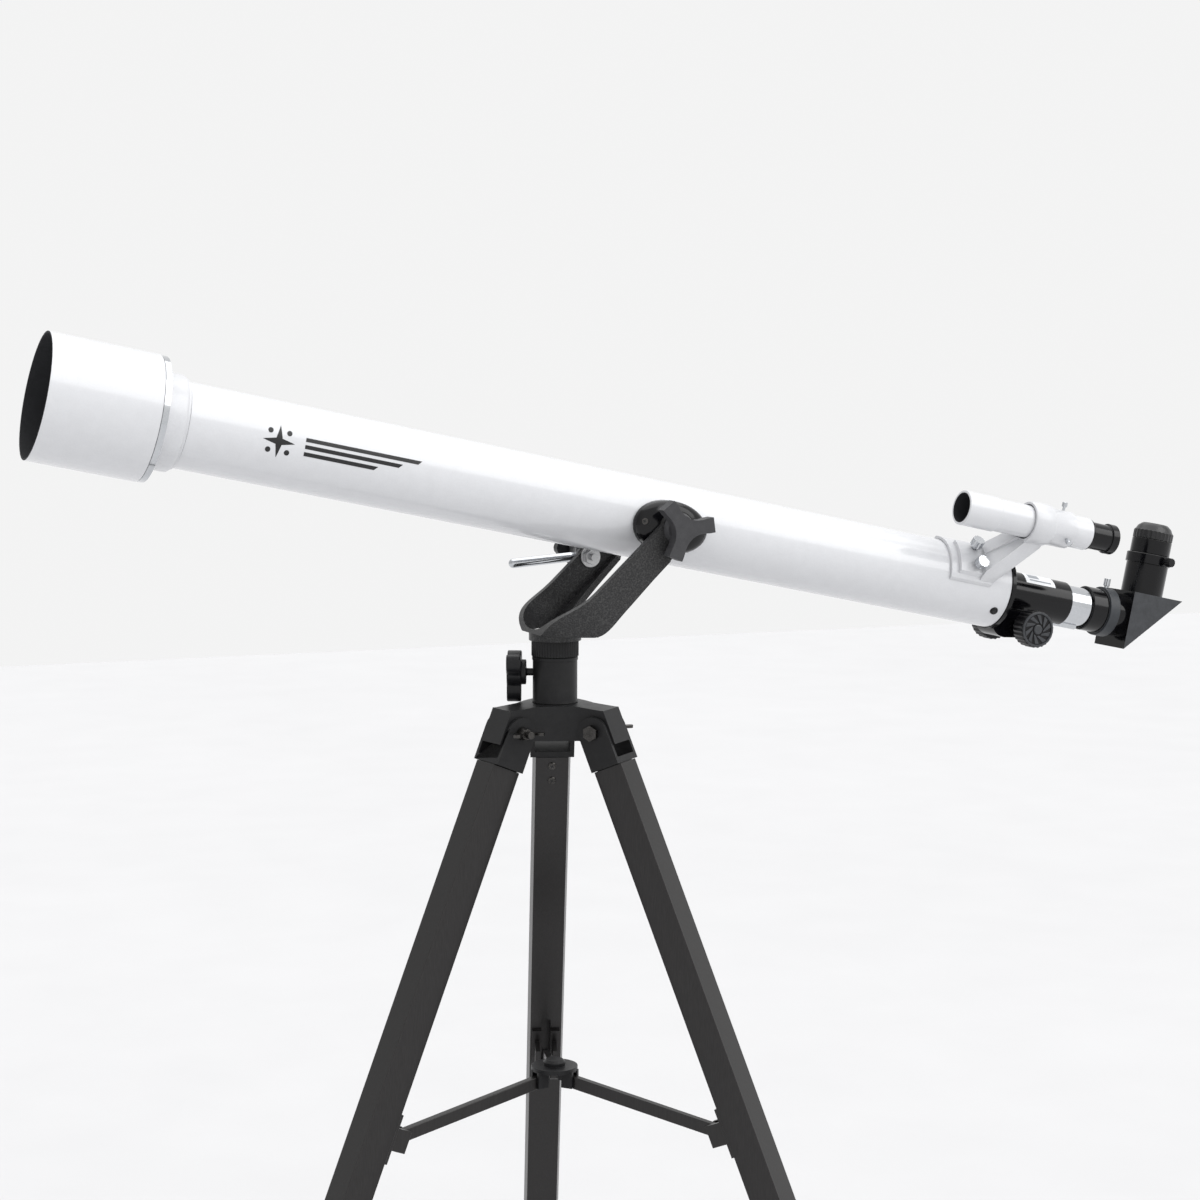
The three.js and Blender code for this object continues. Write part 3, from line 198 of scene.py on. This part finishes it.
GLASS.node_tree.nodes["Principled BSDF"].inputs["Transmission Weight"].default_value = 0.75
MIRROR = surface("mirror_silver", colour(225, 227, 230), colour(236, 238, 240), (0.03, 0.06), metal=1.0,
                 grain=300, bump=0.01)
FLOOR = surface("pale_floor", colour(203, 203, 204), colour(207, 207, 208), (0.8, 0.9), grain=6, bump=0.02,
                spec=0.1)


# ---- mesh helpers -------------------------------------------------------------------------
def shade(bm, limit=math.radians(32)):
    for f in bm.faces:
        f.smooth = True
    for e in bm.edges:
        e.smooth = len(e.link_faces) == 2 and e.calc_face_angle(0) < limit


def plain_copy(bm, name):
    """A mesh with no custom normals, from the bmesh's points and faces."""
    mesh = bpy.data.meshes.new(name)
    bm.verts.ensure_lookup_table()
    bm.verts.index_update()
    mesh.from_pydata([v.co for v in bm.verts], [], [[v.index for v in f.verts] for f in bm.faces])
    mesh.update()
    return mesh


def finish_piece(obj, body, material):
    bpy.context.scene.collection.objects.link(obj)
    for m in material if isinstance(material, (list, tuple)) else [material]:
        obj.data.materials.append(m)
    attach(obj, body)


def bevel(obj, width):
    if width:
        mod = obj.modifiers.new("bevel", "BEVEL")
        mod.width = width * MM
        mod.segments = 2
        mod.limit_method = "ANGLE"
        mod.angle_limit = math.radians(38)


def refine(node, material, edge=0.3, pick=None):
    """Shows a CAD node as a smooth, softly bevelled copy of itself."""
    bm = bmesh.new()
    bm.from_mesh(frame["nodes"][node].data)
    bmesh.ops.remove_doubles(bm, verts=bm.verts, dist=2e-5)
    bmesh.ops.dissolve_limit(bm, angle_limit=math.radians(0.6), verts=bm.verts, edges=bm.edges)
    clean = plain_copy(bm, node)
    bm.free()
    bm = bmesh.new()
    bm.from_mesh(clean)
    shade(bm)
    if pick:
        for f in bm.faces:
            f.material_index = pick(f)
    bm.to_mesh(clean)
    bm.free()
    obj = bpy.data.objects.new("look_" + node, clean)
    finish_piece(obj, BODY_OF[node], material)
    bevel(obj, edge)
    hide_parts(node)


def new_piece(name, verts, faces, matrix, body, material, edge=0.0):
    bm = bmesh.new()
    made = [bm.verts.new(matrix @ Vector(v)) for v in verts]
    for f in faces:
        bm.faces.new([made[i] for i in f])
    bmesh.ops.recalc_face_normals(bm, faces=bm.faces)
    shade(bm)
    mesh = bpy.data.meshes.new(name)
    bm.to_mesh(mesh)
    bm.free()
    obj = bpy.data.objects.new(name, mesh)
    finish_piece(obj, body, material)
    bevel(obj, edge)


def lathe(name, profile, matrix, body, material, segments):
    """Turns [radius, height] points in millimetres about the matrix's z axis."""
    verts, faces, rings = [], [], []
    for r, h in profile:
        if r == 0:
            rings.append([len(verts)])
            verts.append((0, 0, h * MM))
            continue
        rings.append(list(range(len(verts), len(verts) + segments)))
        for i in range(segments):
            a = 2 * math.pi * i / segments
            verts.append((r * MM * math.cos(a), r * MM * math.sin(a), h * MM))
    for one, two in zip(rings, rings[1:]):
        for i in range(segments):
            k = (i + 1) % segments
            if len(one) == 1:
                faces.append((one[0], two[i], two[k]))
            elif len(two) == 1:
                faces.append((one[i], one[k], two[0]))
            else:
                faces.append((one[i], one[k], two[k], two[i]))
    new_piece(name, verts, faces, matrix, body, material)


PATCH_EDGE = 3.2  # longest edge of a printed patch, so that it follows the curve


def wrapped(name, outline, radius, lift, body, material):
    """A printed patch on the near side: outline points are (along the tube, degrees above level)."""
    bm = bmesh.new()
    flat = [bm.verts.new((s * MM, math.radians(a) * radius * MM, 0)) for s, a in outline]
    bm.faces.new(flat)
    bmesh.ops.triangulate(bm, faces=bm.faces)
    for _ in range(4):
        long_edges = [e for e in bm.edges if e.calc_length() > PATCH_EDGE * MM]
        if long_edges:
            bmesh.ops.subdivide_edges(bm, edges=long_edges, cuts=1, use_grid_fill=True)
            bmesh.ops.triangulate(bm, faces=bm.faces)
    reach = (radius + lift) * MM
    for v in bm.verts:
        a = v.co.y / (radius * MM)
        v.co = TUBE @ Vector((v.co.x, -reach * math.cos(a), reach * math.sin(a)))
    for f in bm.faces:
        f.smooth = True
    mesh = bpy.data.meshes.new(name)
    bm.to_mesh(mesh)
    bm.free()
    obj = bpy.data.objects.new(name, mesh)
    finish_piece(obj, body, material)


# ---- CAD nodes shown as refined copies ----------------------------------------------------
def from_axis(point, origin, axis):
    d = point - origin
    return (d - axis * d.dot(axis)).length


def tube_skin(inner_r):
    """White outside, black inside a tube of that inner radius in millimetres."""
    def pick(face):
        c = face.calc_center_median()
        return 1 if from_axis(c, TUBE_ORIGIN, REAR) < inner_r * MM else 0
    return pick


refine("main_tube", [WHITE, INNER], 0.2, tube_skin(TUBE_SPLIT_R))
refine("dew_shield", [WHITE, INNER], 0.35, tube_skin(SHIELD_SPLIT_R))
refine("trim_ring", CHROME, 0.12)


def cell_skin(face):
    """White cell with a black front face and bore."""
    c = face.calc_center_median() - TUBE_ORIGIN
    forward = face.normal.dot(REAR) < -0.7
    inside = from_axis(face.calc_center_median(), TUBE_ORIGIN, REAR) < TUBE_R * MM
    return 1 if c.dot(REAR) < CELL_SPLIT_ALONG * MM and (forward or inside) else 0


refine("objective_cell", [WHITE_CAST, INNER], 0.4, cell_skin)
refine("objective_lens", GLASS, 0.0)
for side in ("near", "far"):
    refine("trunnion_cap_" + side, GLOSS, 0.5)
    refine("focus_knob_" + side, SATIN, 0.3)
refine("focuser_body", GLOSS, 0.35)
refine("drawtube", CHROME, 0.15)


def back_skin(face):
    """Gloss black with a slate rear ring."""
    c = face.calc_center_median() - TUBE_ORIGIN
    return 1 if c.dot(REAR) > BACK_SPLIT_ALONG * MM else 0


refine("visual_back", [GLOSS, SLATE], 0.35, back_skin)
refine("visual_back_screw", CHROME, 0.2)
refine("pinion_shaft", STEEL, 0.15)


def diagonal_skin(face):
    """Gloss black front and holder, satin grey on the prism's cheeks."""
    c = face.calc_center_median() - TUBE_ORIGIN
    cheek = c.dot(UP) < CHEEK_TOP * MM and c.dot(REAR) > CHEEK_FRONT * MM
    return 1 if abs(face.normal.y) > 0.9 and cheek else 0


refine("diagonal_housing", [GLOSS, DIAGONAL], 0.5, diagonal_skin)
refine("diagonal_nosepiece", CHROME, 0.3)
refine("diagonal_mirror", MIRROR, 0.1)
refine("holder_screw", SATIN, 0.3)
refine("eyepiece_body", GLOSS, 0.3)
refine("eyecup", EYECUP, 0.25)


def finder_skin(face):
    """White outside and at the ends, black bore."""
    if abs(face.normal.dot(REAR)) > 0.7:
        return 0
    return 1 if from_axis(face.calc_center_median(), FINDER_AT, REAR) < FINDER_SPLIT_R * MM else 0


refine("finder_tube", [WHITE, INNER], 0.25, finder_skin)
refine("finder_lens", GLASS, 0.0)
refine("finder_eyepiece", GLOSS, 0.3)
refine("finder_bracket", WHITE_CAST, 0.9)
refine("finder_nut_upper", CHROME, 0.35)
refine("finder_nut_lower", CHROME, 0.35)
refine("rod_bracket", SATIN, 0.8)
refine("trunnion_bolt", STEEL, 0.4)
refine("altitude_knob", KNOB, 1.0)
refine("yoke", HAMMER, 1.1)
refine("azimuth_spindle", STEEL, 0.3)
refine("rod_clamp", STEEL, 0.5)
refine("rod_clamp_knob", SATIN, 0.9)
refine("slow_motion_rod", CHROME, 0.2)
refine("column", CAST, 0.3)
refine("azimuth_collar", CAST, 0.2)
refine("azimuth_lock_knob", SATIN, 1.0)
refine("tripod_hub", CAST, 2.0)
refine("spreader_hub", SATIN, 0.4)
for side in ("rear", "left", "right"):
    refine("pivot_bolt_" + side, DARK_STEEL, 0.4)
    refine("leg_bracket_" + side, CAST, 0.9)
    refine("upper_leg_" + side, LEG, 0.7)
    refine("lower_leg_" + side, LEG, 0.6)
    refine("foot_" + side, RUBBER, 1.4)
    refine("leg_clamp_" + side, SATIN, 0.8)
    refine("brace_" + side, LEG, 0.5)


# ---- added detail -------------------------------------------------------------------------
# Generic print on the tube: a star among four dots, then three bars, each shorter than the one above
def star(cx, ca, reach, waist, radius):
    """Outline of a four-pointed star around (cx along the tube, ca up its skin)."""
    points = []
    for i in range(8):
        r = reach if i % 2 == 0 else waist
        a = i * math.pi / 4
        points.append((cx + r * math.cos(a), math.degrees((ca + r * math.sin(a)) / radius)))
    return points


def on_skin(points, radius):
    return [(s, math.degrees(h / radius)) for s, h in points]


STAR_S, STAR_H = -239.5, 2.0
DOT_OUT, DOT_R = 10.4, 2.1
BAR_START, BAR_STEP, BAR_HALF, BAR_SLANT = -219, 5.4, 1.5, 3
wrapped("print_star", star(STAR_S, STAR_H, 12.5, 3.4, TUBE_R), TUBE_R, 0.1, "tube", INK_AND_PAINTED_SHADE)
for i in range(4):
    a = math.pi / 4 + i * math.pi / 2
    dot_s, dot_h = STAR_S + DOT_OUT * math.cos(a), STAR_H + DOT_OUT * math.sin(a)
    dot = [(dot_s + DOT_R * math.cos(b), dot_h + DOT_R * math.sin(b))
           for b in (k * math.pi / 6 for k in range(12))]
    wrapped(f"print_dot_{i}", on_skin(dot, TUBE_R), TUBE_R, 0.1, "tube", INK_AND_PAINTED_SHADE)
for i, end in enumerate((-126, -141, -160)):
    h = STAR_H + 5.2 - BAR_STEP * i
    low, high = h - BAR_HALF, h + BAR_HALF
    bar = [(BAR_START, low), (end - BAR_SLANT, low), (end, high), (BAR_START, high)]
    wrapped(f"print_bar_{i}", on_skin(bar, TUBE_R), TUBE_R, 0.1, "tube", INK_AND_PAINTED_SHADE)

# Blank label on the focuser
wrapped("focuser_label", [(437, 38), (467, 38), (467, 84), (437, 84)], FOCUSER_R, 0.12, "tube",
        LABEL)
wrapped("focuser_label_line", [(441, 47), (463, 47), (463, 52), (441, 52)], FOCUSER_R, 0.2, "tube",
        GREY_INK)
wrapped("focuser_label_block", [(441, 58), (452, 58), (452, 76), (441, 76)], FOCUSER_R, 0.2, "tube",
        GREY_INK)


BOX_FACES = [(0, 1, 2, 3), (4, 5, 6, 7), (0, 1, 5, 4), (1, 2, 6, 5), (2, 3, 7, 6), (3, 0, 4, 7)]


def screw(name, at, direction, r, height, body, material):
    """A round-headed screw with a cross recess, its shade painted as a dark cross."""
    m = about(direction, at)
    head = [[0, height], [r * 0.55, height * 0.97], [r * 0.86, height * 0.72], [r, height * 0.2], [r, -0.4],
            [0, -0.4]]
    lathe(name, head, m, body, material, 28)
    # The dark cross is painted shade: a thin dark sheet on the head where the hollow recess would be.
    for i, turn in enumerate((0.4, 0.4 + math.pi / 2)):
        w, l, t = 0.16 * r * MM, 0.52 * r * MM, (height + 0.05) * MM
        cx, sx = math.cos(turn), math.sin(turn)
        pts = [(cx * a - sx * b, sx * a + cx * b, z) for z in (t - 0.3 * MM, t)
               for a, b in ((-l, -w), (l, -w), (l, w), (-l, w))]
        new_piece(f"{name}_cross_{i}", pts, BOX_FACES, m, body, INK_AND_PAINTED_SHADE)


def radial(s, angle, r, centre=(0.0, 0.0)):
    """Place and outward direction on a cylinder about the tube axis or an axis parallel to it."""
    a = math.radians(angle)
    out = Vector((0, -math.cos(a), 0)) + UP * math.sin(a)
    base = TUBE @ Vector((s * MM, centre[0] * MM, centre[1] * MM))
    return base + out * r * MM, out


# Three screws round the tube's end, and one on each trunnion cap
for i, angle in enumerate((-32.9, 87.1, 207.1)):
    at, out = radial(402, angle, TUBE_R)
    screw(f"tube_screw_{i}", at, out, 3.6, 1.8, "tube", SATIN)
for side, name in ((-1, "near"), (1, "far")):
    at = TUBE @ Vector((61.5 * MM, side * 41.6 * MM, -2.5 * MM))
    lean = (Vector((0, side, 0)) - REAR * 0.62).normalized()
    screw(f"cap_screw_{name}", at, lean, 3.0, 1.3, "tube", DARK_STEEL)

# Three thumbscrews on the finder ring
for i, angle in enumerate((88, -32, 208)):
    at, out = radial(FINDER_ALONG, angle, 14.4, FINDER_C)
    profile = [[0, 8.4], [1.7, 8.4], [2.3, 8.0], [2.3, 4.6], [1.9, 4.2], [1.2, 4.1], [1.2, -0.3], [0, -0.3]]
    lathe(f"finder_thumbscrew_{i}", profile, about(out, at), "tube", CHROME, 24)

# Rim, boss and dark slanted slots on the outer face of each focus knob
for side, name in ((-1, "near"), (1, "far")):
    centre = TUBE @ Vector((440 * MM, side * 40.9 * MM, -26.4 * MM))
    m = axes(REAR, UP, Vector((0, -1, 0)), centre) if side < 0 else axes(UP, REAR, Vector((0, 1, 0)), centre)
    lathe(f"knob_boss_{name}", [[0, 1.5], [3.2, 1.5], [4.0, 1.0], [4.0, 0], [0, 0]], m, "focus_drive",
          DIAGONAL, 32)
    lathe(f"knob_ring_{name}", [[15.0, 0], [15.0, 0.9], [14.4, 1.4], [13.4, 1.4], [13.0, 0.9], [13.0, 0]], m,
          "focus_drive", DIAGONAL, 64)
    for i in range(10):
        a = i * math.pi / 5
        pts = []
        for z in (0, 0.9):
            for r, b in ((5.6, -0.3), (12.6, 0.3), (12.6, 0.62), (5.6, 0.12)):
                pts.append((r * MM * math.cos(a + b), r * MM * math.sin(a + b), z * MM))
        new_piece(f"knob_rib_{name}_{i}", pts, BOX_FACES, m, "focus_drive", DIAGONAL,
                  0.25)

# Line round the column, and screws at the top of each leg's inner face
lathe("column_line", [[COLUMN_R, 34], [18.4, 34.3], [18.4, 36.6], [COLUMN_R, 36.9]],
      about(Vector((0, 0, 1)), HUB_TOP), "stand", CAST, 64)
for side in ("rear", "left", "right"):
    pivot = Vector(JOINTS[f"leg_fold_{side}"]["pos_m"])
    down = Vector(JOINTS[f"leg_extend_{side}"]["axis"])
    outward = Vector(JOINTS[f"leg_clamp_{side}_turn"]["axis"])
    for i, along in enumerate((38, 52)):
        at = pivot + down * along * MM - outward * 12.5 * MM
        screw(f"leg_screw_{side}_{i}", at, -outward, 3.4, 1.4, f"leg_{side}", DARK_STEEL)

# ---- floor, light and camera --------------------------------------------------------------
bpy.ops.mesh.primitive_plane_add(size=12, location=(0, 0, 0))
floor = bpy.context.object
floor.name = "floor"
floor.data.materials.append(FLOOR)

# A soft white room that is dimmer to one side, by world direction and not by the camera's
BRIGHT_SIDE = (0.94, -0.34, 0)
DIM, BRIGHT = 0.62, 0.9
world = bpy.data.worlds.new("studio")
world.use_nodes = True
tree = world.node_tree
backdrop = tree.nodes["Background"]
backdrop.inputs["Color"].default_value = (1, 1, 1, 1)
facing = tree.nodes.new("ShaderNodeTexCoord")
toward = tree.nodes.new("ShaderNodeVectorMath")
toward.operation = "DOT_PRODUCT"
toward.inputs[1].default_value = BRIGHT_SIDE
level = tree.nodes.new("ShaderNodeMapRange")
level.interpolation_type = "SMOOTHSTEP"
level.inputs["From Min"].default_value = -0.85
level.inputs["From Max"].default_value = -0.25
level.inputs["To Min"].default_value = DIM
level.inputs["To Max"].default_value = BRIGHT
tree.links.new(facing.outputs["Generated"], toward.inputs[0])
tree.links.new(toward.outputs["Value"], level.inputs["Value"])
tree.links.new(level.outputs["Result"], backdrop.inputs["Strength"])
bpy.context.scene.world = world


def sun(name, at, strength, spread):
    light = bpy.data.lights.new(name, "SUN")
    light.energy = strength
    light.angle = math.radians(spread)
    obj = bpy.data.objects.new(name, light)
    obj.location = at
    obj.rotation_euler = (-Vector(at)).to_track_quat("-Z", "Y").to_euler()
    bpy.context.scene.collection.objects.link(obj)


sun("key", (2.0, -2.2, 2.6), 1.35, 50)
sun("top", (0.4, 0.6, 3.0), 1.25, 70)

SOLVED_EYE = Vector((-711.12, -1806.22, 278.89))  # from the hub's top, in millimetres
YAW, PITCH, ROLL = math.radians(22.548), math.radians(5.792), 0.0035
camera = bpy.data.cameras.new("camera")
camera.lens = 73.26
camera.sensor_width = 36
eye = bpy.data.objects.new("camera", camera)
eye.location = HUB_TOP + SOLVED_EYE * MM
look = Vector((math.sin(YAW) * math.cos(PITCH), math.cos(YAW) * math.cos(PITCH), -math.sin(PITCH)))
turn = look.to_track_quat("-Z", "Y").to_matrix().to_4x4() @ Matrix.Rotation(ROLL, 4, "Z")
eye.rotation_euler = turn.to_euler()
bpy.context.scene.collection.objects.link(eye)
bpy.context.scene.camera = eye

bpy.context.scene.view_settings.view_transform = "Standard"
